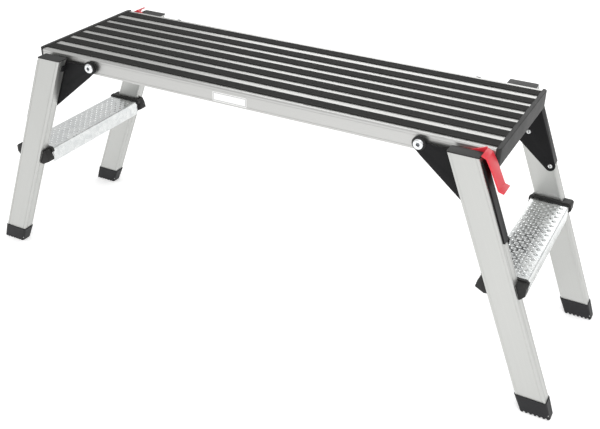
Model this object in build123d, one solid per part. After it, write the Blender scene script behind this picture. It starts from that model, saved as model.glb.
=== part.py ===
from build123d import *
from math import atan2, cos, hypot, radians, sin, tan
import os

# Folding work platform bench, in millimetres. The origin is on the floor under the middle of the deck.
# +X runs along the deck, +Y to the back and +Z up. The bench stands open, with its legs splayed.
# Each leg frame is modelled once, as the right one; half a turn about Z gives the left one.

# ---------- deck ----------
STANDING_HEIGHT = 500.0         # floor to the top of the grip strips
EXTRUSION_LENGTH = 989.0        # the three aluminium extrusions
DECK_HALF_WIDTH = 152.0
SECTION_HEIGHT = 33.0           # extrusions, without the strips
DECK_WALL = 1.8
SEAM_Y = 104.5                  # joint between the centre plank and each side rail
SEAM_WALL = 6.5                 # the rail's wall at that joint
TONGUE_REACH = 3.4
TONGUE_HEIGHT = 3.0
TONGUE_GAP = 0.1
RAIL_EDGE_RADIUS = 2.5
SIDE_GROOVE_DEPTH = 0.5
SIDE_GROOVE_HEIGHT = 0.9
SIDE_GROOVE_INSET = 5.5
PLANK_CHAMBERS = 6
PLANK_WEB = 1.6

STRIP_WIDTH = 24.0              # grip strips
STRIP_RISE = 2.0                # how far they stand above the aluminium
STRIP_SEAT = 1.2                # how deep they sit in it
STRIP_EDGE_RADIUS = 0.8
STRIP_CENTRES = (-126.6, -82.2, -41.3, 0.0, 41.3, 82.2, 126.6)

END_CAP_THICKNESS = 8.5
END_CAP_OVERHANG = 0.6
END_CAP_CORNER = 8.0
END_CAP_EDGE = 1.5
PLUG_LENGTH = 18.0
PLUG_GAP = 0.15
PLUGGED_CHAMBERS = (0, 2, 3, 5)

BRACE_X = 255.0                 # flat bars under the deck
BRACE_WIDTH = 30.0
BRACE_THICKNESS = 2.5
BRACE_HALF_SPAN = 146.0
BRACE_CORNER = 4.0
BRACE_RIVETS_Y = (-128.0, -60.0, 60.0, 128.0)

LABEL_X = -29.0
LABEL_Z = 479.0
LABEL_LENGTH = 76.0
LABEL_HEIGHT = 19.0
LABEL_CORNER = 1.5
LABEL_THICKNESS = 0.25

# ---------- leg hinges ----------
PIVOT_X = 362.0
PIVOT_Z = 482.0
BOLT_RADIUS = 5.0
BOLT_HEAD_RADIUS = 10.0
BOLT_HEAD_HEIGHT = 5.0
BOLT_DOME = 2.5
BOLT_RECESS_RADIUS = 3.2
BOLT_RECESS_DEPTH = 2.5
BOLT_PROUD = 2.0                # thread that stands out of the nut
NUT_ACROSS_FLATS = 15.0
NUT_THICKNESS = 6.0
BUSH_RADIUS = 6.5
BUSH_FLANGE_RADIUS = 12.8
BUSH_FLANGE = 1.2
SPACER_RADIUS = 12.0

# ---------- legs ----------
LEG_LEAN = 21.5                 # degrees from upright
LEG_WIDTH = 53.0
LEG_DEPTH = 26.0
LEG_WALL = 1.6
LEG_CORNER = 2.5
LEG_FLOOR_X = 642.8             # where the leg's centre line meets the floor
LEG_TOP_Z = 491.5
LEG_END_Z = 9.0                 # lower end of the tube, inside the rubber foot
LEG_INNER_Y = 161.0
LEG_GROOVE_INSET = 6.0
LEG_GROOVE_WIDTH = 0.9
LEG_GROOVE_DEPTH = 0.4
LEG_CAP_PLATE = 2.0
LEG_CAP_LIP = 0.6
LEG_CAP_EDGE = 0.7
LEG_CAP_PLUG = 14.0
FOOT_HEIGHT = 36.0
FOOT_WALL = 2.0
FOOT_CORNER = 5.5
FOOT_TAPER = 1.6                # how far each side comes in towards the sole
FOOT_SOLE_EDGE = 2.5
FOOT_RIBS = 7
SOLE_GROOVE_RADIUS = 2.7
SOLE_GROOVE_RISE = 1.6

# ---------- hinge brackets ----------
PLATE_THICKNESS = 3.0
PLATE_TOP_Z = 484.5
EYE_RADIUS = 13.5
EYE_STEP = (367.5, 459.0)       # corner just under the eye
LOWER_RIVET = (531.0, 337.5)
UPPER_RIVET = (478.0, 402.0)
TIP_RADIUS = 10.5
FLANGE_END_Z = 342.0
FLANGE_REACH = 21.0             # how far the flange covers the leg's outer edge
FLANGE_BEND = 2.8
TAB_Z = (465.0, 477.0)          # short tab on the leg's inner edge
TAB_REACH = 13.0
STOP_LUG_X = (396.0, 440.0)     # lug under the rail that stops the leg's swing outwards
STOP_LUG_REACH = 24.0

# ---------- treads ----------
TREAD_TOP_Z = 262.0
TREAD_X = (504.0, 583.0)
TREAD_FLANGE = 33.0
TREAD_SHEET = 1.5
TREAD_BEND = 3.0
TREAD_HALF_SPAN = 153.8
TREAD_TAB_INSET = 9.0
TREAD_TAB_RISE = 4.0
TREAD_RIVETS = ((533.0, 248.0), (557.0, 248.0))
COLLAR_Y = (154.0, 180.0)
COLLAR_PLATE = 7.0              # thickness of the plate between the tread's end and the leg
COLLAR_PLATE_OUTLINE = (
    (500.0, 262.0), (504.0, 266.5), (582.0, 266.5), (587.0, 262.0), (587.0, 257.0),
    (577.0, 253.0), (573.0, 238.0), (517.0, 238.0), (506.0, 252.0), (500.0, 256.0),
)
COLLAR_LUG_OUTLINE = (
    (497.0, 240.0), (500.0, 254.0), (505.5, 264.5), (583.0, 264.5), (587.0, 261.0),
    (587.0, 247.0), (579.0, 238.5), (514.0, 231.0),
)

# ---------- release levers ----------
LEVER_PIVOT = (461.0, 480.0)
LEVER_ARM_Y = (153.4, 157.4)
LEVER_REACH_Y = 186.5
LEVER_HUB_RADIUS = 9.0
PADDLE_OUTSIDE = ((481.0, 500.0), (491.0, 495.5), (502.0, 476.0), (518.0, 442.5), (527.0, 440.0))
PADDLE_INSIDE = ((526.2, 437.1), (515.9, 440.0), (499.3, 474.6), (488.9, 493.2), (479.8, 497.3))
ARM_NOSE = ((429.0, 474.0), (429.0, 484.0), (452.0, 490.5), (479.0, 502.0))
ARM_UNDERSIDE = ((509.5, 440.0), (484.0, 470.0), (466.0, 471.0), (456.0, 472.5))
NOSE_GAP = 0.6                  # between the nose and the lock pin's path
LEVER_PIN_RADIUS = 3.0
LEVER_PIN_HEAD_RADIUS = 5.0
LEVER_PIN_HEAD = 1.2
LOCK_PIN = (423.0, 478.0)
LOCK_PIN_RADIUS = 4.0
LOCK_SHANK_RADIUS = 2.5
LOCK_CLENCH = 1.5
SPRING_RADII = (5.4, 7.6)
SPRING_LENGTH = 2.0
SPRING_GAP = 0.3

# ---------- blind rivets ----------
RIVET_RADIUS = 2.4
RIVET_HEAD_RADII = (3.3, 4.7)
RIVET_HEAD_HEIGHT = 1.9
RIVET_BULB_RADIUS = 3.3
RIVET_BULB_LENGTH = 3.0
MANDREL_RADIUS = 1.2

# ---------- fits ----------
RUNNING_FIT = 0.06              # radial clearance of a turning pin
PRESS_GAP = 0.05                # radial clearance that keeps two pressed pieces from overlapping
MOVING_GAP = 0.3                # between faces that slide past each other
OVERCUT = 1.0                   # how far a cutting shape runs past the face it opens

# ---------- worked-out values ----------
LEAN = tan(radians(LEG_LEAN))
LEVEL = 1 / cos(radians(LEG_LEAN))                  # a leg's width in a level cut, over its true width
LEG_RUN = LEG_WIDTH * LEVEL
LEG_MIDDLE_Y = LEG_INNER_Y + LEG_DEPTH / 2
PLATE_RUN = PLATE_THICKNESS * LEVEL
PLATE_INNER_Y = LEG_INNER_Y - PLATE_THICKNESS
SECTION_TOP = STANDING_HEIGHT - STRIP_RISE
SECTION_BOTTOM = SECTION_TOP - SECTION_HEIGHT
SECTION_MIDDLE = (SECTION_TOP + SECTION_BOTTOM) / 2
SKIN_BOTTOM = SECTION_BOTTOM + DECK_WALL
SKIN_TOP = SECTION_TOP - STRIP_SEAT - DECK_WALL     # underside of the deck's top skin
RAIL_WALL_Y = -DECK_HALF_WIDTH + DECK_WALL          # inner face of the front rail's side
HALF_LENGTH = EXTRUSION_LENGTH / 2
RIVET_HOLE = RIVET_RADIUS + PRESS_GAP


# ---------- helpers ----------
def leg_x(z):
    """Centre line of a right-hand leg at height z."""
    return LEG_FLOOR_X - LEAN * z


def block(x0, x1, y0, y1, z0, z1):
    """A box given by its limits."""
    size = Box(abs(x1 - x0), abs(y1 - y0), abs(z1 - z0))
    return Pos((x0 + x1) / 2, (y0 + y1) / 2, (z0 + z1) / 2) * size


def rod_y(x, z, radius, y0, y1):
    """A round rod along Y."""
    rod = Cylinder(radius, abs(y1 - y0))
    return Pos(x, (y0 + y1) / 2, z) * Rot(90, 0, 0) * rod


def hole_y(x, z, radius, y0, y1):
    """A cutting rod that runs past both faces of a wall between y0 and y1."""
    return rod_y(x, z, radius, min(y0, y1) - OVERCUT, max(y0, y1) + OVERCUT)


def plate_from(points, y0, y1):
    """An upright plate whose outline is straight edges through points of X and Z."""
    face = make_face(Polyline(*points, close=True))
    return extrude(Plane.XZ.offset(-max(y0, y1)) * face, amount=abs(y1 - y0))


def leaning(section, z0, z1, y=-LEG_MIDDLE_Y):
    """Carries a level section along the leg's lean, from height z0 to z1."""
    reach = (z1 - z0) * hypot(1, LEAN)
    return extrude(Pos(leg_x(z0), y, z0) * section, amount=reach, dir=(-LEAN, 0, 1))


def leg_section(extra=0.0):
    """A leg's outer section in a level cut, grown by extra on every side."""
    return RectangleRounded(LEG_RUN + 2 * extra, LEG_DEPTH + 2 * extra, LEG_CORNER + extra)


def leg_bore_section(gap=0.0):
    """A leg's hollow in a level cut, shrunk by gap on every side."""
    inset = LEG_WALL + gap
    return RectangleRounded(LEG_RUN - 2 * inset * LEVEL, LEG_DEPTH - 2 * inset, LEG_CORNER - 1)


def to_back(shape):
    return mirror(shape, about=Plane.XZ)


def to_left(shape):
    return shape.rotate(Axis.Z, 180)


def group(shapes):
    return Compound(children=list(shapes))


def blind_rivet(grip):
    """A blind rivet along Z: its head is below Z = 0 and its bulb beyond the grip."""
    head = Pos(0, 0, -RIVET_HEAD_HEIGHT / 2) * Cone(*RIVET_HEAD_RADII, RIVET_HEAD_HEIGHT)
    shank = Pos(0, 0, grip / 2) * Cylinder(RIVET_RADIUS, grip)
    bulb = Pos(0, 0, grip + RIVET_BULB_LENGTH / 2) * Cylinder(RIVET_BULB_RADIUS, RIVET_BULB_LENGTH)
    mandrel_hole = Pos(0, 0, -RIVET_HEAD_HEIGHT) * Cylinder(MANDREL_RADIUS, RIVET_HEAD_HEIGHT)
    return head + shank + bulb - mandrel_hole


def rivets_towards_legs(places, seat_y, grip):
    """Rivets through to both legs of a frame, with their heads on the inner side."""
    front = [Pos(x, seat_y, z) * Rot(90, 0, 0) * blind_rivet(grip) for x, z in places]
    return group(front + [to_back(rivet) for rivet in front])


# ---------- deck ----------
def along_deck(section):
    """Extrudes a section drawn in Y and Z along the deck, centred."""
    return extrude(Plane.YZ * section, amount=HALF_LENGTH, both=True)


def yz_rectangle(y0, y1, z0, z1):
    return Pos((y0 + y1) / 2, (z0 + z1) / 2) * Rectangle(abs(y1 - y0), abs(z1 - z0))


def strip_seats():
    """Shallow channels that hold the grip strips."""
    seats = Sketch()
    for y in STRIP_CENTRES:
        half = STRIP_WIDTH / 2 + PRESS_GAP
        seats += yz_rectangle(y - half, y + half, SECTION_TOP - STRIP_SEAT, SECTION_TOP + OVERCUT)
    return seats


def plank_chambers():
    """The Y limits of the plank's hollow chambers."""
    pitch = (2 * SEAM_Y - PLANK_WEB) / PLANK_CHAMBERS
    starts = [-SEAM_Y + PLANK_WEB + pitch * number for number in range(PLANK_CHAMBERS)]
    return [(start, start + pitch - PLANK_WEB) for start in starts]


def drilled_for_braces(extrusion):
    """Opens the rivet holes in the underside of a deck extrusion."""
    for x in (-BRACE_X, BRACE_X):
        for y in BRACE_RIVETS_Y:
            extrusion -= Pos(x, y, SECTION_BOTTOM) * Cylinder(RIVET_HOLE, 2 * DECK_WALL + OVERCUT)
    return extrusion


def front_rail():
    """Box extrusion that carries the leg hinges, with a groove for the plank's tongue."""
    outer = yz_rectangle(-DECK_HALF_WIDTH, -SEAM_Y, SECTION_BOTTOM, SECTION_TOP)
    outer = fillet(outer.vertices().group_by(Axis.X)[0], RAIL_EDGE_RADIUS)
    hollow = yz_rectangle(RAIL_WALL_Y, -SEAM_Y - SEAM_WALL, SKIN_BOTTOM, SKIN_TOP)
    groove_half = TONGUE_HEIGHT / 2 + TONGUE_GAP
    groove = yz_rectangle(
        -SEAM_Y - TONGUE_REACH - TONGUE_GAP, -SEAM_Y + OVERCUT,
        SECTION_MIDDLE - groove_half, SECTION_MIDDLE + groove_half,
    )
    section = outer - hollow - groove - strip_seats()
    for z in (SECTION_BOTTOM + SIDE_GROOVE_INSET, SECTION_TOP - SIDE_GROOVE_INSET):
        section -= yz_rectangle(
            -DECK_HALF_WIDTH - OVERCUT, -DECK_HALF_WIDTH + SIDE_GROOVE_DEPTH,
            z - SIDE_GROOVE_HEIGHT / 2, z + SIDE_GROOVE_HEIGHT / 2,
        )
    rail = along_deck(section)
    for side in (-1, 1):
        bolt_hole = BOLT_RADIUS + PRESS_GAP
        rail -= hole_y(side * PIVOT_X, PIVOT_Z, bolt_hole, -DECK_HALF_WIDTH, RAIL_WALL_Y)
    rail -= hole_y(*LOCK_PIN, LOCK_SHANK_RADIUS + PRESS_GAP, -DECK_HALF_WIDTH, RAIL_WALL_Y)
    return drilled_for_braces(rail)


def centre_plank():
    """Hollow extrusion with inner webs and a tongue along each edge."""
    section = yz_rectangle(-SEAM_Y, SEAM_Y, SECTION_BOTTOM, SECTION_TOP)
    reach = SEAM_Y + TONGUE_REACH
    tongue_half = TONGUE_HEIGHT / 2
    section += yz_rectangle(-reach, reach, SECTION_MIDDLE - tongue_half, SECTION_MIDDLE + tongue_half)
    section -= strip_seats()
    for y0, y1 in plank_chambers():
        section -= yz_rectangle(y0, y1, SKIN_BOTTOM, SKIN_TOP)
    return drilled_for_braces(along_deck(section))


def grip_strip(y):
    """A long non-slip strip, pressed into its seat."""
    half = STRIP_WIDTH / 2
    section = yz_rectangle(y - half, y + half, SECTION_TOP - STRIP_SEAT, STANDING_HEIGHT)
    return along_deck(fillet(section.vertices().group_by(Axis.Y)[-1], STRIP_EDGE_RADIUS))


def right_end_cap():
    """Moulded cap over the deck's end, with plugs that press into the extrusions."""
    reach = DECK_HALF_WIDTH + END_CAP_OVERHANG
    outer_x = HALF_LENGTH + END_CAP_THICKNESS
    bottom = SECTION_BOTTOM - END_CAP_OVERHANG
    cap = block(HALF_LENGTH, outer_x, -reach, reach, bottom, STANDING_HEIGHT)
    cap = fillet(cap.edges().filter_by(Axis.Z).group_by(Axis.X)[-1], END_CAP_CORNER)
    outer_face = cap.faces().sort_by(Axis.X)[-1]
    cap = fillet(outer_face.edges().filter_by(Axis.Y), END_CAP_EDGE)
    rail_chamber = (RAIL_WALL_Y, -SEAM_Y - SEAM_WALL)
    chambers = [rail_chamber, (-rail_chamber[1], -rail_chamber[0])]
    chambers += [plank_chambers()[number] for number in PLUGGED_CHAMBERS]
    for y0, y1 in chambers:
        cap += block(
            HALF_LENGTH - PLUG_LENGTH, HALF_LENGTH, y0 + PLUG_GAP, y1 - PLUG_GAP,
            SKIN_BOTTOM + PLUG_GAP, SKIN_TOP - PLUG_GAP,
        )
    return cap


def cross_brace(x):
    """Flat bar riveted under the three extrusions to hold them together."""
    half = BRACE_WIDTH / 2
    bottom = SECTION_BOTTOM - BRACE_THICKNESS
    bar = block(x - half, x + half, -BRACE_HALF_SPAN, BRACE_HALF_SPAN, bottom, SECTION_BOTTOM)
    bar = fillet(bar.edges().filter_by(Axis.Z), BRACE_CORNER)
    for y in BRACE_RIVETS_Y:
        bar -= Pos(x, y, bottom) * Cylinder(RIVET_HOLE, 2 * BRACE_THICKNESS + OVERCUT)
    return bar


def brace_rivets():
    grip = BRACE_THICKNESS + DECK_WALL
    bottom = SECTION_BOTTOM - BRACE_THICKNESS
    places = [(x, y) for x in (-BRACE_X, BRACE_X) for y in BRACE_RIVETS_Y]
    return group([Pos(x, y, bottom) * blind_rivet(grip) for x, y in places])


def blank_label():
    """A plain sticker on the front rail."""
    face = RectangleRounded(LABEL_LENGTH, LABEL_HEIGHT, LABEL_CORNER)
    label = extrude(Plane.XZ * face, amount=LABEL_THICKNESS)
    return Pos(LABEL_X, -DECK_HALF_WIDTH, LABEL_Z) * label


# ---------- leg hinges, at the front right corner ----------
def pivot_bolt():
    """Domed bolt through bush, bracket, spacer and rail wall."""
    seat = -LEG_INNER_Y - BUSH_FLANGE - MOVING_GAP
    face = seat - BOLT_HEAD_HEIGHT
    shank = rod_y(PIVOT_X, PIVOT_Z, BOLT_RADIUS, seat, RAIL_WALL_Y + NUT_THICKNESS + BOLT_PROUD)
    head = rod_y(PIVOT_X, PIVOT_Z, BOLT_HEAD_RADIUS, face, seat)
    head = fillet(head.faces().sort_by(Axis.Y)[0].edges(), BOLT_DOME)
    recess = rod_y(PIVOT_X, PIVOT_Z, BOLT_RECESS_RADIUS, face - OVERCUT, face + BOLT_RECESS_DEPTH)
    return shank + head - recess


def pivot_nut():
    """Hexagon nut inside the rail."""
    hexagon = RegularPolygon(NUT_ACROSS_FLATS / 2, 6, major_radius=False)
    nut = Pos(PIVOT_X, RAIL_WALL_Y, PIVOT_Z) * Rot(-90, 0, 0) * extrude(hexagon, amount=NUT_THICKNESS)
    return nut - hole_y(PIVOT_X, PIVOT_Z, BOLT_RADIUS + PRESS_GAP, RAIL_WALL_Y, RAIL_WALL_Y + NUT_THICKNESS)


def pivot_spacer():
    """Plastic ring that holds the bracket clear of the rail."""
    faces = (-DECK_HALF_WIDTH, -PLATE_INNER_Y + MOVING_GAP)
    ring = rod_y(PIVOT_X, PIVOT_Z, SPACER_RADIUS, *faces)
    return ring - hole_y(PIVOT_X, PIVOT_Z, BOLT_RADIUS + PRESS_GAP, *faces)


def pivot_bush():
    """Flanged plastic bush pressed into the bracket's eye; it turns on the bolt."""
    outer_y = -LEG_INNER_Y - BUSH_FLANGE
    sleeve = rod_y(PIVOT_X, PIVOT_Z, BUSH_RADIUS, -PLATE_INNER_Y, -LEG_INNER_Y)
    flange = rod_y(PIVOT_X, PIVOT_Z, BUSH_FLANGE_RADIUS, -LEG_INNER_Y, outer_y)
    return sleeve + flange - hole_y(PIVOT_X, PIVOT_Z, BOLT_RADIUS + RUNNING_FIT, outer_y, -PLATE_INNER_Y)


def lock_pin():
    """Shouldered stud riveted into the rail, beside the release lever's nose."""
    shoulder = rod_y(*LOCK_PIN, LOCK_PIN_RADIUS, -PLATE_INNER_Y + 2 * MOVING_GAP, -DECK_HALF_WIDTH)
    shank = rod_y(*LOCK_PIN, LOCK_SHANK_RADIUS, -DECK_HALF_WIDTH, RAIL_WALL_Y)
    clench = rod_y(*LOCK_PIN, LOCK_PIN_RADIUS, RAIL_WALL_Y, RAIL_WALL_Y + LOCK_CLENCH)
    return shoulder + shank + clench


# ---------- leg frame, at the front right corner ----------
def leg(has_lever):
    """Box extrusion with fine grooves near its corners, cut level and drilled for its rivets."""
    section = leg_section() - leg_bore_section()
    groove_x = LEG_RUN / 2 - LEG_GROOVE_INSET
    groove_y = LEG_DEPTH / 2 - LEG_GROOVE_INSET
    for across in (-1, 1):
        for along in (-1, 1):
            wide = Rectangle(LEG_GROOVE_WIDTH, 2 * LEG_GROOVE_DEPTH)
            narrow = Rectangle(2 * LEG_GROOVE_DEPTH, LEG_GROOVE_WIDTH)
            section -= Pos(along * groove_x, across * LEG_DEPTH / 2) * wide
            section -= Pos(across * LEG_RUN / 2, along * groove_y) * narrow
    tube = leaning(section, LEG_END_Z, LEG_TOP_Z)
    wall = (-LEG_INNER_Y, -LEG_INNER_Y - LEG_WALL)
    for x, z in (LOWER_RIVET, UPPER_RIVET, *TREAD_RIVETS):
        tube -= hole_y(x, z, RIVET_HOLE, *wall)
    if has_lever:
        tube -= hole_y(*LEVER_PIVOT, LEVER_PIN_RADIUS + PRESS_GAP, *wall)
    return tube


def leg_cap(has_lever):
    """Flat plastic cap with a plug, which is notched round the lever pin's head."""
    plate = leaning(leg_section(LEG_CAP_LIP), LEG_TOP_Z, LEG_TOP_Z + LEG_CAP_PLATE)
    plate = fillet(plate.faces().sort_by(Axis.Z)[-1].edges(), LEG_CAP_EDGE)
    plug = leaning(leg_bore_section(PLUG_GAP), LEG_TOP_Z - LEG_CAP_PLUG, LEG_TOP_Z)
    if has_lever:
        head_end = -LEG_INNER_Y - LEG_WALL - LEVER_PIN_HEAD
        plug -= hole_y(*LEVER_PIVOT, LEVER_PIN_HEAD_RADIUS + OVERCUT, -LEG_INNER_Y, head_end)
    return plate + plug


def foot_outline(z, wall):
    """The boot's outline in a level cut at height z."""
    outline = RectangleRounded(LEG_RUN + 2 * wall, LEG_DEPTH + 2 * wall, FOOT_CORNER)
    return Pos(leg_x(z), -LEG_MIDDLE_Y, z) * outline


def rubber_foot():
    """Moulded boot over the leg's end, drawn in towards its ribbed sole."""
    foot = loft([foot_outline(0, FOOT_WALL - FOOT_TAPER), foot_outline(FOOT_HEIGHT, FOOT_WALL)])
    foot = fillet(foot.faces().sort_by(Axis.Z)[0].edges(), FOOT_SOLE_EDGE)
    foot -= leaning(leg_section(PRESS_GAP), LEG_END_Z, FOOT_HEIGHT + OVERCUT)
    sole_length = LEG_RUN + 2 * (FOOT_WALL - FOOT_TAPER)
    faces = (-LEG_INNER_Y + FOOT_WALL, -LEG_INNER_Y - LEG_DEPTH - FOOT_WALL)
    for number in range(1, FOOT_RIBS):
        x = LEG_FLOOR_X - sole_length / 2 + sole_length * number / FOOT_RIBS
        foot -= hole_y(x, SOLE_GROOVE_RISE, SOLE_GROOVE_RADIUS, *faces)
    return foot


def bracket_outline():
    """The hinge plate's outline without its round ends, from the eye along the top edge."""
    def outer_x(z):
        return leg_x(z) + LEG_RUN / 2 + PLATE_RUN

    tip_x, tip_z = LOWER_RIVET
    slope = atan2(tip_z - EYE_STEP[1], tip_x - EYE_STEP[0])
    return [
        (PIVOT_X, PLATE_TOP_Z),
        (outer_x(PLATE_TOP_Z), PLATE_TOP_Z),
        (outer_x(tip_z), tip_z),
        (tip_x, tip_z),
        (tip_x + TIP_RADIUS * sin(slope), tip_z - TIP_RADIUS * cos(slope)),
        EYE_STEP,
        (PIVOT_X - EYE_RADIUS / 2, PIVOT_Z - EYE_RADIUS * cos(radians(30))),
    ]


def hinge_bracket(has_lever):
    """Pressed steel plate with a hinge eye, a rounded tip, and edges folded round the leg."""
    near = -PLATE_INNER_Y
    far = -LEG_INNER_Y
    plate = plate_from(bracket_outline(), near, far)
    plate += rod_y(PIVOT_X, PIVOT_Z, EYE_RADIUS, near, far)
    plate += rod_y(*LOWER_RIVET, TIP_RADIUS, near, far)
    flange = Pos(LEG_RUN / 2 + PLATE_RUN / 2, 0) * Rectangle(PLATE_RUN, FLANGE_REACH)
    plate += leaning(flange, FLANGE_END_Z, PLATE_TOP_Z, far - FLANGE_REACH / 2)
    outside_bend = Pos(LEG_RUN / 2 + PLATE_RUN - FLANGE_BEND / 2, -FLANGE_BEND / 2) * (
        Rectangle(FLANGE_BEND, FLANGE_BEND) - Pos(-FLANGE_BEND / 2, -FLANGE_BEND / 2) * Circle(FLANGE_BEND)
    )
    plate -= leaning(outside_bend, FLANGE_END_Z - OVERCUT, PLATE_TOP_Z + OVERCUT, near)
    tab = Pos(-LEG_RUN / 2 - PLATE_RUN / 2, 0) * Rectangle(PLATE_RUN, TAB_REACH)
    plate += leaning(tab, *TAB_Z, far - TAB_REACH / 2)
    lug_top = SECTION_BOTTOM - MOVING_GAP
    plate += block(*STOP_LUG_X, near, near + STOP_LUG_REACH, lug_top - PLATE_THICKNESS, lug_top)
    plate -= hole_y(PIVOT_X, PIVOT_Z, BUSH_RADIUS + PRESS_GAP, near, far)
    for x, z in (LOWER_RIVET, UPPER_RIVET):
        plate -= hole_y(x, z, RIVET_HOLE, near, far)
    if has_lever:
        plate -= hole_y(*LEVER_PIVOT, LEVER_PIN_RADIUS + PRESS_GAP, near, far)
    return plate


def tread_collar():
    """Plastic saddle: a plate between the tread's end and the leg, and a lug each side of it."""
    near, far = -COLLAR_Y[0], -COLLAR_Y[1]
    collar = plate_from(COLLAR_PLATE_OUTLINE, near, near - COLLAR_PLATE)
    collar += plate_from(COLLAR_LUG_OUTLINE, near - COLLAR_PLATE, far)
    heights = [z for x, z in (*COLLAR_PLATE_OUTLINE, *COLLAR_LUG_OUTLINE)]
    collar -= leaning(leg_section(), min(heights) - OVERCUT, max(heights) + OVERCUT)
    for x, z in TREAD_RIVETS:
        collar -= hole_y(x, z, RIVET_HOLE, near, -LEG_INNER_Y)
    return collar


def tread_profile(inset, bend, half_span, z0):
    """A block with its two long upper edges rounded."""
    x0, x1 = TREAD_X
    shape = block(x0 + inset, x1 - inset, -half_span, half_span, z0, TREAD_TOP_Z - inset)
    return fillet(shape.edges().filter_by(Axis.Y).group_by(Axis.Z)[-1], bend)


def tread():
    """Folded sheet-steel tread: top, two side flanges and a tab down at each end."""
    bottom = TREAD_TOP_Z - TREAD_FLANGE
    sheet = tread_profile(0, TREAD_BEND, TREAD_HALF_SPAN, bottom)
    sheet -= tread_profile(TREAD_SHEET, TREAD_BEND - TREAD_SHEET, TREAD_HALF_SPAN + OVERCUT, bottom - OVERCUT)
    tab_x = (TREAD_X[0] + TREAD_TAB_INSET, TREAD_X[1] - TREAD_TAB_INSET)
    tab_z = (bottom + TREAD_TAB_RISE, TREAD_TOP_Z - TREAD_SHEET)
    for end in (-1, 1):
        tab_y = (end * TREAD_HALF_SPAN, end * (TREAD_HALF_SPAN - TREAD_SHEET))
        end_tab = block(*tab_x, *tab_y, *tab_z)
        for x, z in TREAD_RIVETS:
            end_tab -= hole_y(x, z, RIVET_HOLE, *tab_y)
        sheet += end_tab
    return sheet


# ---------- release lever, on the right frame's front leg ----------
def release_lever():
    """Moulded lever: hub, nose beside the lock pin, arm, and the paddle that a hand presses."""
    near, far = -LEVER_ARM_Y[0], -LEVER_ARM_Y[1]
    lever = plate_from([*PADDLE_OUTSIDE, *PADDLE_INSIDE], near, -LEVER_REACH_Y)
    web_edge = [*PADDLE_OUTSIDE[:-1], PADDLE_INSIDE[1]]
    lever += plate_from([*ARM_NOSE, *web_edge, *ARM_UNDERSIDE], near, far)
    lever += rod_y(*LEVER_PIVOT, LEVER_HUB_RADIUS, near, far)
    pin_path = hypot(LOCK_PIN[0] - PIVOT_X, LOCK_PIN[1] - PIVOT_Z) + LOCK_PIN_RADIUS + NOSE_GAP
    lever -= hole_y(PIVOT_X, PIVOT_Z, pin_path, near, far)
    seat_end = far + SPRING_LENGTH + SPRING_GAP
    spring_seat = rod_y(*LEVER_PIVOT, SPRING_RADII[1] + SPRING_GAP, seat_end, far - OVERCUT)
    spring_seat -= rod_y(*LEVER_PIVOT, SPRING_RADII[0] - SPRING_GAP, seat_end, far - OVERCUT)
    return lever - spring_seat - hole_y(*LEVER_PIVOT, LEVER_PIN_RADIUS + RUNNING_FIT, near, far)


def lever_spring():
    """Torsion spring round the lever's hub, drawn as the ring that its coils fill."""
    far = -LEVER_ARM_Y[1]
    ring = rod_y(*LEVER_PIVOT, SPRING_RADII[1], far + SPRING_LENGTH, far)
    return ring - hole_y(*LEVER_PIVOT, SPRING_RADII[0], far + SPRING_LENGTH, far)


def lever_pin():
    """Rivet pin fixed in the leg and bracket, with its head inside the leg."""
    inside = -LEG_INNER_Y - LEG_WALL
    shank = rod_y(*LEVER_PIVOT, LEVER_PIN_RADIUS, -LEVER_ARM_Y[0], inside)
    return shank + rod_y(*LEVER_PIVOT, LEVER_PIN_HEAD_RADIUS, inside, inside - LEVER_PIN_HEAD)


# ---------- assembly ----------
def four_corners(piece):
    """Repeats a front right piece at all four leg hinges."""
    right_pair = [piece, to_back(piece)]
    return group(right_pair + [to_left(one) for one in right_pair])


def deck_parts():
    parts = {
        "deck_front_rail": front_rail(),
        "deck_back_rail": to_left(front_rail()),
        "deck_centre_plank": centre_plank(),
        "end_cap_right": right_end_cap(),
        "end_cap_left": to_left(right_end_cap()),
        "cross_brace_right": cross_brace(BRACE_X),
        "cross_brace_left": cross_brace(-BRACE_X),
        "cross_brace_rivets": brace_rivets(),
        "blank_label": blank_label(),
        "lock_pin_right": lock_pin(),
        "lock_pin_left": to_left(lock_pin()),
        "pivot_bolts": four_corners(pivot_bolt()),
        "pivot_nuts": four_corners(pivot_nut()),
        "pivot_spacers": four_corners(pivot_spacer()),
    }
    for number, y in enumerate(STRIP_CENTRES, start=1):
        parts[f"grip_strip_{number}"] = grip_strip(y)
    return parts


def right_frame_parts():
    """The right leg frame, whose front corner has the release lever."""
    bracket_grip = PLATE_THICKNESS + LEG_WALL
    tab_y = -TREAD_HALF_SPAN + TREAD_SHEET
    tread_grip = LEG_INNER_Y + LEG_WALL + tab_y
    bush = pivot_bush()
    parts = {
        "right_pivot_bushes": group([bush, to_back(bush)]),
        "right_bracket_rivets": rivets_towards_legs((LOWER_RIVET, UPPER_RIVET), -PLATE_INNER_Y, bracket_grip),
        "right_tread": tread(),
        "right_tread_rivets": rivets_towards_legs(TREAD_RIVETS, tab_y, tread_grip),
        "right_release_lever": release_lever(),
        "right_lever_pin": lever_pin(),
        "right_lever_spring": lever_spring(),
    }
    for corner, has_lever in (("front", True), ("back", False)):
        pieces = {
            "leg": leg(has_lever),
            "leg_cap": leg_cap(has_lever),
            "foot": rubber_foot(),
            "bracket": hinge_bracket(has_lever),
            "tread_collar": tread_collar(),
        }
        for name, piece in pieces.items():
            parts[f"right_{corner}_{name}"] = piece if corner == "front" else to_back(piece)
    return parts


def left_name(name):
    """Half a turn swaps front and back as well as right and left."""
    other = {"right": "left", "front": "back", "back": "front"}
    return "_".join(other.get(word, word) for word in name.split("_"))


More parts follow.
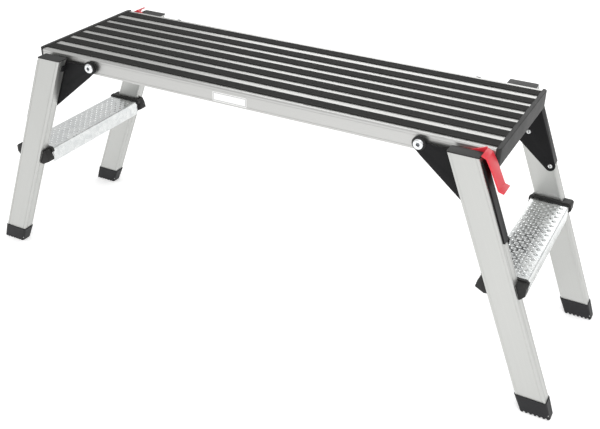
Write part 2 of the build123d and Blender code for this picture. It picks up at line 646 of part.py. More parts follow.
os.makedirs("parts", exist_ok=True)
all_parts = deck_parts()
right_frame = right_frame_parts()
all_parts.update(right_frame)
all_parts.update({left_name(name): to_left(part) for name, part in right_frame.items()})
for node, part in all_parts.items():
    export_step(part, f"parts/{node}.step")
print(len(all_parts), "nodes")
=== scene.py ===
from math import cos, hypot, pi, radians, sin

import bmesh
import bpy
from mathutils import Matrix, Vector


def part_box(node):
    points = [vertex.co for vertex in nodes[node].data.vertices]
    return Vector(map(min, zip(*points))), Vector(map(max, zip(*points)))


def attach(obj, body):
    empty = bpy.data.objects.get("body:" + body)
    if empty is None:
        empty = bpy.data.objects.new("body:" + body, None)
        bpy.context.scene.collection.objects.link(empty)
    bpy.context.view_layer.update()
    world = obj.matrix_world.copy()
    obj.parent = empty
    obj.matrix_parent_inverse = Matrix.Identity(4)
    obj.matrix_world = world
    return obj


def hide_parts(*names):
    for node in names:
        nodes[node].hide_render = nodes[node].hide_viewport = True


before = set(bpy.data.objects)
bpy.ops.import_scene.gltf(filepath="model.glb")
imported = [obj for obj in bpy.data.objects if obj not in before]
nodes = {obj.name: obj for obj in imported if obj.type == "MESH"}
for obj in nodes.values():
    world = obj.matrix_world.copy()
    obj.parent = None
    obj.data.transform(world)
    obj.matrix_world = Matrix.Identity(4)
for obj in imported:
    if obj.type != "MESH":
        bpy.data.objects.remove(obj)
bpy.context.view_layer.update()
scene = bpy.context.scene


# ---------- camera ----------
# A plain camera with a slightly long lens, standing in front of the bench's right half.
# It looks down on the deck, so the tops of the strips and both treads show.
CAMERA_PLACE = (0.8173, -1.4654, 1.1370)
CAMERA_TURN = radians(27.716)
CAMERA_TILT = radians(30.351)
CAMERA_ROLL = radians(0.781)
CAMERA_LENS = 52.456
CAMERA_SENSOR = 36.0

camera = bpy.data.objects.new("camera", bpy.data.cameras.new("camera"))
camera.data.sensor_width = CAMERA_SENSOR
camera.data.lens = CAMERA_LENS
camera.matrix_world = (
    Matrix.Translation(CAMERA_PLACE)
    @ Matrix.Rotation(CAMERA_TURN, 4, "Z")
    @ Matrix.Rotation(pi / 2 - CAMERA_TILT, 4, "X")
    @ Matrix.Rotation(CAMERA_ROLL, 4, "Z")
)
scene.collection.objects.link(camera)
scene.camera = camera


# ---------- floor and light ----------
# A white studio floor, lit a little from below, under an even white surround.
# One soft box behind the right end brightens the deck's top, and one over the front
# brightens the floor that the right legs and the rail mirror.
FLOOR_REACH = 45.0
FLOOR_COLOUR = (0.90, 0.90, 0.90, 1.0)
FLOOR_GLOW = 0.36
SURROUND_STRENGTH = 0.80
SOFT_BOXES = (
    ("soft_box_back", (-0.3, 2.5, 1.40), (0.45, 0.0, 0.45), 2.6, 0.9, 14.0),
    ("soft_box_front", (1.0, -1.7, 2.3), (0.7, -1.1, 0.0), 1.4, 1.4, 26.0),
)


class Wire:
    """A value in a finish's node tree. An expression on it adds the Math nodes."""

    def __init__(self, finish, socket):
        self.finish = finish
        self.socket = socket

    def maths(self, operation, left, right=0.0):
        return self.finish.node("ShaderNodeMath", {"operation": operation}, {0: left, 1: right})

    def __add__(self, other):
        return self.maths("ADD", self, other)

    def __radd__(self, other):
        return self.maths("ADD", other, self)

    def __sub__(self, other):
        return self.maths("SUBTRACT", self, other)

    def __rsub__(self, other):
        return self.maths("SUBTRACT", other, self)

    def __mul__(self, other):
        return self.maths("MULTIPLY", self, other)

    def __rmul__(self, other):
        return self.maths("MULTIPLY", other, self)

    def __gt__(self, other):
        return self.maths("GREATER_THAN", self, other)

    def __lt__(self, other):
        return self.maths("LESS_THAN", self, other)

    def __abs__(self):
        return self.maths("ABSOLUTE", self)


class Finish:
    """A procedural finish: one Principled shader and the nodes that feed it."""

    def __init__(self, name, **constants):
        self.material = bpy.data.materials.new(name)
        self.material.use_nodes = True
        self.tree = self.material.node_tree
        self.shader = self.tree.nodes["Principled BSDF"]
        for socket, value in constants.items():
            self.shader.inputs[socket.replace("_", " ")].default_value = value

    def feed(self, socket, value):
        if isinstance(value, Wire):
            self.tree.links.new(value.socket, socket)
        else:
            socket.default_value = value

    def node(self, kind, settings=None, inputs=None, output=0):
        """Adds a node: its settings first, then the values or links of its sockets."""
        made = self.tree.nodes.new(kind)
        for name, value in (settings or {}).items():
            if name == "stops":
                ramp = made.color_ramp
                while len(ramp.elements) < len(value):
                    ramp.elements.new(1.0)
                for element, (position, colour) in zip(ramp.elements, value):
                    element.position = position
                    element.color = (*colour, 1.0)
            else:
                setattr(made, name, value)
        for name, value in (inputs or {}).items():
            self.feed(made.inputs[name], value)
        return Wire(self, made.outputs[output])

    def place(self):
        """The point being shaded, in the piece's own coordinates."""
        return self.node("ShaderNodeTexCoord", output="Object")

    def axes(self, place):
        """The X, Y and Z of a place, as three wires."""
        split = self.node("ShaderNodeSeparateXYZ", None, {0: place})
        return [Wire(self, socket) for socket in split.socket.node.outputs]

    def grain(self, place, stretch, detail=3.0):
        """Noise from 0 to 1, with its own frequency along each axis."""
        scaled = self.node("ShaderNodeVectorMath", {"operation": "MULTIPLY"}, {0: place, 1: stretch})
        values = {"Vector": scaled, "Scale": 1.0, "Detail": detail}
        return self.node("ShaderNodeTexNoise", None, values)

    def blend(self, factor, first, second):
        """A colour between two others."""
        return self.node("ShaderNodeMix", {"data_type": "RGBA"}, {0: factor, 6: first, 7: second}, 2)

    def relief(self, height, depth, strength=1.0):
        """Bumps the surface by a height from 0 to 1, which stands for a depth in metres."""
        values = {"Height": height, "Distance": depth, "Strength": strength}
        self.feed(self.shader.inputs["Normal"], self.node("ShaderNodeBump", None, values))

    def surface(self, **sockets):
        for socket, value in sockets.items():
            self.feed(self.shader.inputs[socket.replace("_", " ")], value)


def new_piece(name, shape):
    """Makes an object in the scene from a mesh under construction."""
    mesh = bpy.data.meshes.new(name)
    bmesh.ops.recalc_face_normals(shape, faces=shape.faces)
    shape.to_mesh(mesh)
    shape.free()
    piece = bpy.data.objects.new(name, mesh)
    scene.collection.objects.link(piece)
    return piece


FLOOR_CLOUDED = (0.92, 0.92, 0.92, 1.0)
WHITE_LIGHT = (1.0, 1.0, 1.0, 1.0)

floor_shape = bmesh.new()
bmesh.ops.create_grid(floor_shape, x_segments=2, y_segments=2, size=FLOOR_REACH)
floor = new_piece("studio_floor", floor_shape)
floor_finish = Finish(
    "studio_floor", Roughness=0.8, Specular_IOR_Level=0.2,
    Emission_Color=WHITE_LIGHT, Emission_Strength=FLOOR_GLOW,
)
floor_cloud = floor_finish.grain(floor_finish.place(), (1.5, 1.5, 1.5))
floor_finish.surface(Base_Color=floor_finish.blend(floor_cloud, FLOOR_COLOUR, FLOOR_CLOUDED))
floor.data.materials.append(floor_finish.material)

surround = bpy.data.worlds.new("surround")
surround.use_nodes = True
surround.node_tree.nodes["Background"].inputs["Color"].default_value = WHITE_LIGHT
surround.node_tree.nodes["Background"].inputs["Strength"].default_value = SURROUND_STRENGTH
scene.world = surround
scene.view_settings.view_transform = "Standard"

for name, place, aim, width, height, power in SOFT_BOXES:
    light = bpy.data.objects.new(name, bpy.data.lights.new(name, "AREA"))
    light.data.shape = "RECTANGLE"
    light.data.size = width
    light.data.size_y = height
    light.data.energy = power
    light.location = place
    light.rotation_euler = (Vector(aim) - Vector(place)).to_track_quat("-Z", "Y").to_euler()
    scene.collection.objects.link(light)


# ---------- deck extrusions ----------
# Two box rails and a hollow centre plank, extruded from aluminium and left satin.
# The die leaves fine straight lines along their whole length.
DECK_LIGHT = (0.585, 0.585, 0.572, 1.0)
DECK_DARK = (0.485, 0.485, 0.475, 1.0)
DIE_LINES = 420.0
DIE_LINE_STRETCH = 0.9
DIE_LINE_DEPTH = 0.00004
DECK_CLOUD = (3.0, 9.0, 9.0)


def dress(node, finish):
    """Gives a CAD node its finish."""
    for slot in nodes[node].material_slots:
        slot.material = finish.material


def drawn_metal(name, place_of, light, dark, **constants):
    """Satin extruded metal with die lines along one axis of the place that place_of gives."""
    finish = Finish(name, Metallic=1.0, **constants)
    place = place_of(finish)
    lines = finish.grain(place, (DIE_LINE_STRETCH, DIE_LINES, DIE_LINES), 4.0)
    cloud = finish.grain(place, DECK_CLOUD, 2.0)
    finish.surface(
        Base_Color=finish.blend(0.55 * lines + 0.45 * cloud, dark, light),
        Roughness=0.30 + 0.16 * lines + 0.06 * cloud,
    )
    finish.relief(lines, DIE_LINE_DEPTH, 0.35)
    return finish


deck_aluminium = drawn_metal("deck_aluminium", Finish.place, DECK_LIGHT, DECK_DARK)
for node in ("deck_front_rail", "deck_back_rail", "deck_centre_plank"):
    dress(node, deck_aluminium)


# ---------- grip strips ----------
# Seven long strips of black rubber, pressed into channels in the deck.
# Low ribs run along each one, and its outer edges are rounded.
STRIP_BLACK = (0.011, 0.011, 0.0105, 1.0)
STRIP_DUSTY = (0.026, 0.026, 0.0245, 1.0)
STRIP_EDGE = 0.0009
STRIP_RIBS = 7
RIB_GROOVE_DEPTH = 0.00035
RIB_GROOVE_SLOPE = 0.0003


def prism(name, outline, axis, start, end):
    """A solid whose outline, in the two axes other than the given one, runs from start to end."""
    shape = bmesh.new()
    rings = []
    for reach in (start, end):
        ring = []
        for first, second in outline:
            corner = [first, second]
            corner.insert("XYZ".index(axis), reach)
            ring.append(shape.verts.new(corner))
        rings.append(ring)
    shape.faces.new(rings[0])
    shape.faces.new(rings[1])
    for number in range(len(outline)):
        after = (number + 1) % len(outline)
        shape.faces.new((rings[0][number], rings[0][after], rings[1][after], rings[1][number]))
    return new_piece(name, shape)


def arc(centre, radius, start, end, steps):
    """Points along an arc, with its angles in degrees."""
    angles = [radians(start + (end - start) * step / steps) for step in range(steps + 1)]
    return [(centre[0] + radius * cos(angle), centre[1] + radius * sin(angle)) for angle in angles]


strip_rubber = Finish("grip_strip", Specular_IOR_Level=0.22)
rubber_place = strip_rubber.place()
rubber_pores = strip_rubber.grain(rubber_place, (900.0, 900.0, 900.0), 2.0)
rubber_wear = strip_rubber.grain(rubber_place, (5.0, 60.0, 60.0), 3.0)
strip_rubber.surface(
    Base_Color=strip_rubber.blend(0.4 * rubber_pores + 0.6 * rubber_wear, STRIP_BLACK, STRIP_DUSTY),
    Roughness=0.62 + 0.2 * rubber_pores,
)
strip_rubber.relief(rubber_pores, 0.00012, 0.6)

for number in range(1, 8):
    low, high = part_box(f"grip_strip_{number}")
    outline = [(low.y, low.z)]
    outline += arc((low.y + STRIP_EDGE, high.z - STRIP_EDGE), STRIP_EDGE, 180, 90, 4)
    pitch = (high.y - low.y - 2 * STRIP_EDGE) / STRIP_RIBS
    for rib in range(1, STRIP_RIBS):
        groove = low.y + STRIP_EDGE + pitch * rib
        for side, drop in ((-2, 0), (-1, 1), (1, 1), (2, 0)):
            outline.append((groove + side * RIB_GROOVE_SLOPE, high.z - drop * RIB_GROOVE_DEPTH))
    outline += arc((high.y - STRIP_EDGE, high.z - STRIP_EDGE), STRIP_EDGE, 90, 0, 4)
    outline.append((high.y, low.z))
    strip = prism(f"ribbed_strip_{number}", outline, "X", low.x, high.x)
    strip.data.materials.append(strip_rubber.material)
    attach(strip, "deck")
    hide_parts(f"grip_strip_{number}")


# ---------- end caps ----------
# Black moulded caps over both ends of the deck, with plugs pressed into the extrusions.
# The mould leaves a fine leather grain, and every outer edge is eased.
PLASTIC_BLACK = (0.008, 0.008, 0.008, 1.0)
PLASTIC_GREY = (0.026, 0.026, 0.025, 1.0)
CAP_EDGE = 0.0009


def eased(node, name, edge, segments=3):
    """A copy of a moulded or pressed piece with its sharp edges rounded over."""
    shape = bmesh.new()
    shape.from_mesh(nodes[node].data)
    bmesh.ops.remove_doubles(shape, verts=shape.verts, dist=1e-5)
    bmesh.ops.dissolve_limit(shape, angle_limit=radians(1.0), verts=shape.verts, edges=shape.edges)
    for face in shape.faces:
        face.smooth = True
    piece = new_piece(name, shape)
    bevel = piece.modifiers.new("eased edges", "BEVEL")
    bevel.width = edge
    bevel.segments = segments
    bevel.limit_method = "ANGLE"
    bevel.angle_limit = radians(34)
    bevel.use_clamp_overlap = True
    bevel.harden_normals = True
    graph = bpy.context.evaluated_depsgraph_get()
    settled = bpy.data.meshes.new_from_object(
        piece.evaluated_get(graph), preserve_all_data_layers=True, depsgraph=graph
    )
    piece.modifiers.clear()
    piece.data = settled
    return piece


def fit_out(piece, finish, body, node):
    """Gives a new piece its finish, the body it moves with, and the node it stands for."""
    piece.data.materials.clear()
    piece.data.materials.append(finish.material)
    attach(piece, body)
    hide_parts(node)


moulded = Finish("black_plastic", Specular_IOR_Level=0.30)
moulded_place = moulded.place()
leather = moulded.grain(moulded_place, (650.0, 650.0, 650.0), 3.0)
handled = moulded.grain(moulded_place, (22.0, 22.0, 22.0), 3.0)
moulded.surface(
    Base_Color=moulded.blend(0.5 * leather + 0.5 * handled, PLASTIC_BLACK, PLASTIC_GREY),
    Roughness=0.42 + 0.22 * handled,
)
moulded.relief(leather, 0.00016, 0.7)

for side in ("left", "right"):
    cap = eased(f"end_cap_{side}", f"moulded_end_cap_{side}", CAP_EDGE)
    fit_out(cap, moulded, "deck", f"end_cap_{side}")


# ---------- cross braces ----------
# Flat galvanised bars riveted under the three extrusions, which hold the deck together.
# Their zinc coat has the faint patches of crystals that the treads' has too.
ZINC_LIGHT = (0.80, 0.815, 0.805, 1.0)
ZINC_DARK = (0.58, 0.60, 0.605, 1.0)
SPANGLE = 95.0
ZINC_CLOUD = (30.0, 30.0, 30.0)
ZINC_RELIEF = 0.0002
RIVET_LIGHT = (0.74, 0.75, 0.75, 1.0)
RIVET_DARK = (0.55, 0.56, 0.56, 1.0)

galvanised = Finish("zinc_sheet", Metallic=1.0)
zinc_place = galvanised.place()
spangle_scaled = {"Vector": zinc_place, "Scale": SPANGLE}
spangle_cell = galvanised.node("ShaderNodeTexVoronoi", None, spangle_scaled, "Color")
spangle_tone = galvanised.axes(spangle_cell)[0]
zinc_cloud = galvanised.grain(zinc_place, ZINC_CLOUD, 4.0)
galvanised.surface(
    Base_Color=galvanised.blend(0.5 * spangle_tone + 0.5 * zinc_cloud, ZINC_DARK, ZINC_LIGHT),
    Roughness=0.15 + 0.10 * spangle_tone + 0.10 * zinc_cloud,
)
galvanised.relief(zinc_cloud, ZINC_RELIEF, 0.25)

for side in ("left", "right"):
    dress(f"cross_brace_{side}", galvanised)


def plated(name, light, dark, roughness, scale=260.0):
    """Bright plated metal with a slight mottle."""
    finish = Finish(name, Metallic=1.0)
    mottle = finish.grain(finish.place(), (scale, scale, scale), 3.0)
    finish.surface(Base_Color=finish.blend(mottle, dark, light), Roughness=roughness + 0.12 * mottle)
    finish.relief(mottle, 0.00003, 0.4)
    return finish


rivet_steel = plated("rivet_steel", RIVET_LIGHT, RIVET_DARK, 0.22)
dress("cross_brace_rivets", rivet_steel)


# ---------- label ----------
# A thin white sticker on the front rail, left blank but for a fine grey border line.
LABEL_WHITE = (0.86, 0.86, 0.85, 1.0)
LABEL_PAPER = (0.80, 0.80, 0.79, 1.0)
LABEL_LINE = (0.30, 0.30, 0.31, 1.0)
LABEL_CORNER = 0.0015
LABEL_BORDER = (0.0014, 0.0024)      # where the line runs, from the sticker's edge

low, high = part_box("blank_label")
label_outline = []
for centre_x, centre_z, start in (
    (high.x - LABEL_CORNER, high.z - LABEL_CORNER, 0),
    (low.x + LABEL_CORNER, high.z - LABEL_CORNER, 90),
    (low.x + LABEL_CORNER, low.z + LABEL_CORNER, 180),
    (high.x - LABEL_CORNER, low.z + LABEL_CORNER, 270),
):
    label_outline += arc((centre_x, centre_z), LABEL_CORNER, start, start + 90, 5)
label = prism("plain_sticker", label_outline, "Y", low.y, high.y)
sticker = Finish("label", Roughness=0.28, Specular_IOR_Level=0.5)
across, _, up = sticker.axes(sticker.place())
from_side = (high.x - low.x) / 2 - abs(across - (low.x + high.x) / 2)
from_end = (high.z - low.z) / 2 - abs(up - (low.z + high.z) / 2)
from_edge = from_side.maths("MINIMUM", from_side, from_end)
line = (from_edge > LABEL_BORDER[0]) * (from_edge < LABEL_BORDER[1])
paper = sticker.grain(sticker.place(), (300.0, 300.0, 300.0), 2.0)
sticker.surface(Base_Color=sticker.blend(line, sticker.blend(paper, LABEL_WHITE, LABEL_PAPER), LABEL_LINE))
fit_out(label, sticker, "deck", "blank_label")


# ---------- pivot bolts ----------
# Four domed zinc-plated bolts, with a hexagon socket, on which the leg frames turn.
# Their nuts are inside the rails. The walls of each socket carry painted shade.
BOLT_LIGHT = (0.90, 0.91, 0.92, 1.0)
BOLT_DARK = (0.72, 0.74, 0.76, 1.0)
BOLT_SHANK = 0.005
BOLT_HEAD = 0.005
BOLT_HEAD_LAND = 0.0012
BOLT_RIM = 0.0016
SOCKET_RADIUS = 0.0034
SOCKET_DEPTH = 0.0030


def turned(name, profile, sides=48):
    """A turned solid along Z. Each step is a radius, a height and, in a hexagon socket, True."""
    shape = bmesh.new()
    rings = []
    for radius, height, *socket in profile:
        ring = []
        for number in range(sides if radius else 1):
            angle = 2 * pi * number / sides
            reach = radius / cos(angle % (pi / 3) - pi / 6) if socket else radius
            ring.append(shape.verts.new((reach * cos(angle), reach * sin(angle), height)))
        rings.append(ring)
    for below, above in zip(rings, rings[1:]):
        for number in range(sides):
            after = (number + 1) % sides
            corners = [below[number % len(below)], below[after % len(below)]]
            corners += [above[after % len(above)], above[number % len(above)]]
            shape.faces.new(list(dict.fromkeys(corners)))
    for face in shape.faces:
        face.smooth = True
    piece = new_piece(name, shape)
    piece.data.set_sharp_from_angle(angle=radians(38))
    return piece


def solids_of(node):
    """The lowest and highest corner of each separate solid of a CAD node."""
    shape = bmesh.new()
    shape.from_mesh(nodes[node].data)
    bmesh.ops.remove_doubles(shape, verts=shape.verts, dist=1e-6)
    unseen = set(shape.verts)
    boxes = []
    for first in list(shape.verts):
        if first not in unseen:
            continue
        unseen.remove(first)
        edge_of_search = [first]
        corners = []
        while edge_of_search:
            vertex = edge_of_search.pop()
            corners.append(vertex.co.copy())
            for link in vertex.link_edges:
                other = link.other_vert(vertex)
                if other in unseen:
                    unseen.remove(other)
                    edge_of_search.append(other)
        lowest = Vector([min(corner[axis] for corner in corners) for axis in range(3)])
        highest = Vector([max(corner[axis] for corner in corners) for axis in range(3)])
        boxes.append((lowest, highest))
    shape.free()
    return boxes


def joined(name, pieces):
    """Joins several objects into one piece."""
    shape = bmesh.new()
    finishes = []
    for piece in pieces:
        moved = piece.data.copy()
        moved.transform(piece.matrix_world)
        offset = len(finishes)
        finishes += [material for material in piece.data.materials]
        before = len(shape.faces)
        shape.from_mesh(moved)
        shape.faces.ensure_lookup_table()
        for face in shape.faces[before:]:
            face.material_index += offset
        bpy.data.meshes.remove(moved)
    mesh = bpy.data.meshes.new(name)
    shape.to_mesh(mesh)
    shape.free()
    mesh.set_sharp_from_angle(angle=radians(38))
    for material in finishes:
        mesh.materials.append(material)
    for piece in pieces:
        bpy.data.objects.remove(piece)
    whole = bpy.data.objects.new(name, mesh)
    scene.collection.objects.link(whole)
    return whole


bright_zinc = plated("bright_zinc", BOLT_LIGHT, BOLT_DARK, 0.16, 420.0)
# The second finish is painted shade: a dark zinc laid on the socket's walls, where the recess lies in
# shade.
painted_socket_shade = plated("painted_socket_shade", (0.24, 0.25, 0.27, 1.0), (0.12, 0.13, 0.14, 1.0), 0.35)
bolts = []
for low, high in solids_of("pivot_bolts"):
    outward = -1 if low.y < 0 else 1
    length = high.y - low.y
    head = (high.x - low.x) / 2
    dome = BOLT_HEAD - BOLT_HEAD_LAND
    seat = length - BOLT_HEAD
    profile = [(0, 0), (BOLT_SHANK - 0.0006, 0), (BOLT_SHANK, 0.0006), (BOLT_SHANK, seat)]
    profile += [(head - 0.0003, seat), (head, seat + 0.0003), (head, seat + BOLT_HEAD_LAND)]
    for angle in (18, 36, 54, 72, 90):
        rise = sin(radians(angle)) * dome
        profile.append((head - BOLT_RIM * 2 * (1 - cos(radians(angle))), seat + BOLT_HEAD_LAND + rise))
    profile += [(SOCKET_RADIUS + 0.0022, length), (SOCKET_RADIUS + 0.0015, length - 0.0007)]
    profile += [(SOCKET_RADIUS + 0.0008, length - 0.0007), (SOCKET_RADIUS, length - 0.0010, True)]
    profile += [(SOCKET_RADIUS, length - SOCKET_DEPTH, True), (0, length - SOCKET_DEPTH - 0.0004)]
    bolt = turned("bolt", profile)
    centre = (low + high) / 2
    inner_end = high.y if outward < 0 else low.y
    bolt.matrix_world = (
        Matrix.Translation((centre.x, inner_end, centre.z)) @ Matrix.Rotation(-outward * pi / 2, 4, "X")
    )
    bolt.data.materials.append(bright_zinc.material)
    bolt.data.materials.append(painted_socket_shade.material)
    # Faces inside the hexagon socket, above the head's seat, take the painted shade.
    for face in bolt.data.polygons:
        if face.center.z < length - 0.0009 and Vector(face.center.xy).length < SOCKET_RADIUS * 1.2:
            face.material_index = 1 if face.center.z > seat else 0
    bolts.append(bolt)
domed_bolts = joined("domed_bolts", bolts)
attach(domed_bolts, "deck")
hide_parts("pivot_bolts")
dress("pivot_nuts", bright_zinc)


# ---------- spacers, bushes and lock pins ----------
# A black plastic ring keeps each bracket off the rail, and a flanged bush lines its eye.
# The lock pins are shouldered steel studs riveted into the rails.
RING_EDGE = 0.0004

rings = eased("pivot_spacers", "spacer_rings", RING_EDGE, 2)
fit_out(rings, moulded, "deck", "pivot_spacers")
for side in ("left", "right"):
    dress(f"lock_pin_{side}", bright_zinc)
    bushes = eased(f"{side}_pivot_bushes", f"{side}_flanged_bushes", RING_EDGE, 2)
    fit_out(bushes, moulded, f"{side}_legs", f"{side}_pivot_bushes")


# ---------- legs ----------
# Box extrusions in satin aluminium, leaning outwards, with fine grooves beside their corners.
# The die lines follow the leg, so the pattern is drawn along its lean.
LEG_LEAN = radians(21.5)
LEG_LIGHT = (0.580, 0.584, 0.568, 1.0)
LEG_DARK = (0.475, 0.480, 0.466, 1.0)


def along_leg(finish):
    """A place whose X runs down the leg, whichever way it leans."""
    x, y, z = finish.axes(finish.place())
    outward = abs(x)
    values = {
        0: z * cos(LEG_LEAN) - outward * sin(LEG_LEAN),
        1: outward * cos(LEG_LEAN) + z * sin(LEG_LEAN),
        2: y,
    }
    return finish.node("ShaderNodeCombineXYZ", None, values)


leg_aluminium = drawn_metal("leg_aluminium", along_leg, LEG_LIGHT, LEG_DARK)
CORNERS = [(side, end) for side in ("right", "left") for end in ("front", "back")]
for side, end in CORNERS:
    dress(f"{side}_{end}_leg", leg_aluminium)


# ---------- leg caps ----------
# Flat black plastic plates with a plug that closes the top of each leg.
LEG_CAP_EDGE = 0.0005

for side, end in CORNERS:
    cap = eased(f"{side}_{end}_leg_cap", f"{side}_{end}_moulded_cap", LEG_CAP_EDGE)
    fit_out(cap, moulded, f"{side}_legs", f"{side}_{end}_leg_cap")


# ---------- feet ----------
# Black rubber boots pushed over the legs' lower ends, drawn in towards a grooved sole.
# Their mouldings have rounded corners already, so only the rubber's finish is added.
FOOT_BLACK = (0.009, 0.009, 0.010, 1.0)
FOOT_GREY = (0.024, 0.024, 0.026, 1.0)

foot_rubber = Finish("foot_rubber", Specular_IOR_Level=0.26)
foot_place = foot_rubber.place()
foot_pores = foot_rubber.grain(foot_place, (700.0, 700.0, 700.0), 3.0)
foot_scuffs = foot_rubber.grain(foot_place, (60.0, 60.0, 25.0), 3.0)
foot_rubber.surface(
    Base_Color=foot_rubber.blend(0.35 * foot_pores + 0.65 * foot_scuffs, FOOT_BLACK, FOOT_GREY),
    Roughness=0.40 + 0.25 * foot_scuffs,
)
foot_rubber.relief(foot_pores, 0.00014, 0.6)
for side, end in CORNERS:
    dress(f"{side}_{end}_foot", foot_rubber)


# ---------- hinge brackets ----------
# Pressed steel plates in black powder coat, folded round the leg and held by two rivets.
# The coat has the usual fine orange peel.
COAT_BLACK = (0.004, 0.004, 0.0045, 1.0)
COAT_GREY = (0.011, 0.011, 0.012, 1.0)
BRACKET_EDGE = 0.0006

powder_coat = Finish("black_steel", Specular_IOR_Level=0.15)
coat_place = powder_coat.place()
orange_peel = powder_coat.grain(coat_place, (420.0, 420.0, 420.0), 2.0)
coat_dust = powder_coat.grain(coat_place, (30.0, 30.0, 30.0), 4.0)
powder_coat.surface(
    Base_Color=powder_coat.blend(0.4 * orange_peel + 0.6 * coat_dust, COAT_BLACK, COAT_GREY),
    Roughness=0.36 + 0.18 * coat_dust,
)
powder_coat.relief(orange_peel, 0.00012, 0.5)
for side, end in CORNERS:
    bracket = eased(f"{side}_{end}_bracket", f"{side}_{end}_pressed_bracket", BRACKET_EDGE)
    fit_out(bracket, powder_coat, f"{side}_legs", f"{side}_{end}_bracket")


# ---------- blind rivets ----------
# Aluminium blind rivets through the brackets and the treads' end tabs into the legs.
# Each domed head has a hole where its steel mandrel broke off; the mandrel's end is painted dark as shade
# in the hole.
RIVET_SHANK = 0.0024
RIVET_BULB = 0.0033
RIVET_BULB_LENGTH = 0.003
RIVET_HEAD_HEIGHT = 0.0019
MANDREL_RADIUS = 0.00115
MANDREL_SUNK = 0.0011

# The mandrels' ends: steel, painted far darker than steel as painted shade at the bottom of each head's
# hole.
mandrel_steel_and_painted_shade = plated("mandrel_steel_and_painted_shade", (0.10, 0.10, 0.10, 1.0), (0.04, 0.04, 0.04, 1.0), 0.45)


def blind_rivets(node, name, body):
    """Turns a rivet for each solid of a node, with its head towards the middle of the bench."""
    rivets = []
    for low, high in solids_of(node):
        outward = -1 if low.y < 0 else 1
        length = high.y - low.y
        head = (high.x - low.x) / 2
        profile = [
            (0, MANDREL_SUNK), (MANDREL_RADIUS, MANDREL_SUNK), (MANDREL_RADIUS + 0.0001, 0.0003),
            (MANDREL_RADIUS + 0.0004, 0), (head * 0.55, 0.0001), (head * 0.78, 0.0006),
            (head * 0.95, 0.0013), (head, RIVET_HEAD_HEIGHT), (RIVET_SHANK, RIVET_HEAD_HEIGHT),
            (RIVET_SHANK, length - RIVET_BULB_LENGTH), (RIVET_BULB, length - RIVET_BULB_LENGTH + 0.0006),
            (RIVET_BULB, length - 0.0006), (RIVET_SHANK, length), (0, length),
        ]
        rivet = turned("rivet", profile, 32)
        rivet.data.materials.append(rivet_steel.material)
        rivet.data.materials.append(mandrel_steel_and_painted_shade.material)
        # The flat end at the bottom of the hole takes the mandrel's finish and its painted shade.
        for face in rivet.data.polygons:
            if face.center.z < RIVET_HEAD_HEIGHT and Vector(face.center.xy).length < MANDREL_RADIUS:
                face.material_index = 1
        centre = (low + high) / 2
        inner_end = high.y if outward < 0 else low.y
        rivet.matrix_world = (
            Matrix.Translation((centre.x, inner_end, centre.z)) @ Matrix.Rotation(-outward * pi / 2, 4, "X")
        )
        rivets.append(rivet)
    whole = joined(name, rivets)
    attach(whole, body)
    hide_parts(node)


for side in ("right", "left"):
    blind_rivets(f"{side}_bracket_rivets", f"{side}_bracket_blind_rivets", f"{side}_legs")
    blind_rivets(f"{side}_tread_rivets", f"{side}_tread_blind_rivets", f"{side}_legs")


# ---------- treads ----------
# Galvanised sheet steel, folded into a channel, with raised round dimples pressed in its top.
# A tab folded down at each end takes the rivets.
TREAD_SHEET = 0.0015
TREAD_BEND = 0.003
TREAD_STEP = 0.0009
DIMPLE_RADIUS = 0.0040
DIMPLE_RISE = 0.0013
DIMPLE_DISH = 0.0006
DIMPLE_COLUMN_PITCH = 0.0140
DIMPLE_ROW_PITCH = 0.0097
DIMPLE_COLUMNS = 5
DIMPLE_MARGIN = 0.012


def dimple_rise(along, across, length):
    """Height of the dimples' pattern at a place on the tread's top, in staggered rows."""
    rows = int((length / 2 - DIMPLE_MARGIN) / DIMPLE_ROW_PITCH)
    rise = 0.0
    nearest_row = round(along / DIMPLE_ROW_PITCH)
    for row in (nearest_row - 1, nearest_row, nearest_row + 1):
        if abs(row) > rows:
            continue
        columns = DIMPLE_COLUMNS - abs(row) % 2
        for column in range(columns):
            centre = (column - (columns - 1) / 2) * DIMPLE_COLUMN_PITCH
            share = hypot(across - centre, along - row * DIMPLE_ROW_PITCH) / DIMPLE_RADIUS
            if share < 1:
                dish = DIMPLE_DISH * max(0.0, 1 - (2.2 * share) ** 2)
                rise = max(rise, DIMPLE_RISE * (1 - share**4) - dish)
    return rise


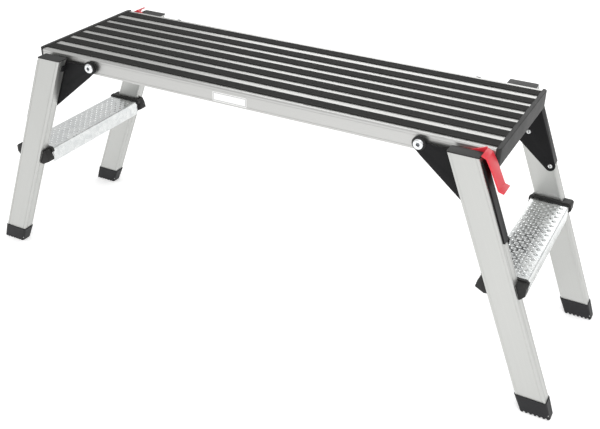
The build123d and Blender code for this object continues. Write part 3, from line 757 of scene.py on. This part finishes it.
def tread_sheet(node, name):
    """The folded channel as one bent sheet, with its dimples raised in the mesh."""
    low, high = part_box(node)
    length = high.y - low.y
    middle = (low.x + high.x) / 2
    bend_low, bend_high = low.x + TREAD_BEND, high.x - TREAD_BEND
    bend_z = high.z - TREAD_BEND
    path = [(low.x, low.z), (low.x, (low.z + bend_z) / 2)]
    path += arc((bend_low, bend_z), TREAD_BEND, 180, 90, 6)
    across_steps = round((bend_high - bend_low) / TREAD_STEP)
    for step in range(1, across_steps):
        path.append((bend_low + (bend_high - bend_low) * step / across_steps, high.z))
    path += arc((bend_high, bend_z), TREAD_BEND, 90, 0, 6)
    path += [(high.x, (low.z + bend_z) / 2), (high.x, low.z)]
    along_steps = round(length / TREAD_STEP)
    shape = bmesh.new()
    rows = []
    for step in range(along_steps + 1):
        y = low.y + length * step / along_steps
        row = []
        for x, z in path:
            rise = 0.0
            if z > high.z - 1e-6:
                rise = dimple_rise(y - (low.y + high.y) / 2, x - middle, length)
            row.append(shape.verts.new((x, y, z + rise)))
        rows.append(row)
    for before, after in zip(rows, rows[1:]):
        for number in range(len(path) - 1):
            corners = (before[number], before[number + 1], after[number + 1], after[number])
            shape.faces.new(corners).smooth = True
    sheet = new_piece(name, shape)
    top = max(sheet.data.polygons, key=lambda face: face.center.z)
    thickness = sheet.modifiers.new("sheet", "SOLIDIFY")
    thickness.thickness = TREAD_SHEET
    thickness.offset = -1.0 if top.normal.z > 0 else 1.0
    graph = bpy.context.evaluated_depsgraph_get()
    solid = bpy.data.meshes.new_from_object(sheet.evaluated_get(graph), depsgraph=graph)
    sheet.modifiers.clear()
    sheet.data = solid
    solid.set_sharp_from_angle(angle=radians(50))
    return sheet


def end_tab(node, end):
    """The tab folded down at one end of the tread."""
    low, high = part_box(node)
    outer = high.y if end > 0 else low.y
    inner = outer - end * TREAD_SHEET
    x0, x1 = low.x + 0.009, high.x - 0.009
    z0, z1 = low.z + 0.004, high.z - TREAD_SHEET * 0.6
    corner = 0.004
    outline = [(x1, z1), (x0, z1)]
    outline += arc((x0 + corner, z0 + corner), corner, 180, 270, 4)
    outline += arc((x1 - corner, z0 + corner), corner, 270, 360, 4)
    return prism("end_tab", outline, "Y", min(inner, outer), max(inner, outer))


for side in ("right", "left"):
    node = f"{side}_tread"
    sheet = joined(
        f"{side}_dimpled_tread",
        [tread_sheet(node, "sheet"), end_tab(node, 1), end_tab(node, -1)],
    )
    fit_out(sheet, galvanised, f"{side}_legs", node)


# ---------- tread collars ----------
# Black plastic saddles between the treads' ends and the legs, with a lug each side of the leg.
COLLAR_EDGE = 0.0006

for side, end in CORNERS:
    collar = eased(f"{side}_{end}_tread_collar", f"{side}_{end}_saddle", COLLAR_EDGE)
    fit_out(collar, moulded, f"{side}_legs", f"{side}_{end}_tread_collar")


# ---------- release levers ----------
# Bright red moulded levers: pressing the paddle turns the nose away from the lock pin.
# Each turns on a steel pin in the leg, and a torsion spring on the pin brings it back.
LEVER_RED = (0.64, 0.024, 0.040, 1.0)
LEVER_PINK = (0.72, 0.040, 0.060, 1.0)
LEVER_EDGE = 0.0008
SPRING_WIRE = 0.0009
SPRING_TURNS = 2.2

red_plastic = Finish("red_plastic", Specular_IOR_Level=0.42)
red_place = red_plastic.place()
red_cloud = red_plastic.grain(red_place, (70.0, 70.0, 70.0), 3.0)
red_fine = red_plastic.grain(red_place, (900.0, 900.0, 900.0), 2.0)
red_plastic.surface(
    Base_Color=red_plastic.blend(red_cloud, LEVER_RED, LEVER_PINK),
    Roughness=0.28 + 0.14 * red_cloud,
)
red_plastic.relief(red_fine, 0.00006, 0.4)

spring_steel = plated("spring_steel", (0.62, 0.62, 0.60, 1.0), (0.42, 0.42, 0.41, 1.0), 0.25)


def coil(name, node):
    """A torsion spring wound in the ring that its node fills."""
    low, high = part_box(node)
    centre = (low + high) / 2
    radius = (high.x - low.x) / 2 - SPRING_WIRE / 2
    travel = high.y - low.y - SPRING_WIRE
    curve = bpy.data.curves.new(name, "CURVE")
    curve.dimensions = "3D"
    curve.bevel_depth = SPRING_WIRE / 2
    curve.bevel_resolution = 3
    spline = curve.splines.new("POLY")
    steps = round(SPRING_TURNS * 36)
    spline.points.add(steps)
    for step in range(steps + 1):
        angle = 2 * pi * SPRING_TURNS * step / steps
        y = low.y + SPRING_WIRE / 2 + travel * step / steps
        spline.points[step].co = (centre.x + radius * cos(angle), y, centre.z + radius * sin(angle), 1)
    wound = bpy.data.objects.new(name, curve)
    scene.collection.objects.link(wound)
    graph = bpy.context.evaluated_depsgraph_get()
    mesh = bpy.data.meshes.new_from_object(wound.evaluated_get(graph), depsgraph=graph)
    bpy.data.objects.remove(wound)
    for face in mesh.polygons:
        face.use_smooth = True
    spring = bpy.data.objects.new(name, mesh)
    scene.collection.objects.link(spring)
    return spring


for side in ("right", "left"):
    lever = eased(f"{side}_release_lever", f"{side}_red_lever", LEVER_EDGE)
    fit_out(lever, red_plastic, f"{side}_lever", f"{side}_release_lever")
    spring = coil(f"{side}_torsion_spring", f"{side}_lever_spring")
    fit_out(spring, spring_steel, f"{side}_lever", f"{side}_lever_spring")
    dress(f"{side}_lever_pin", bright_zinc)
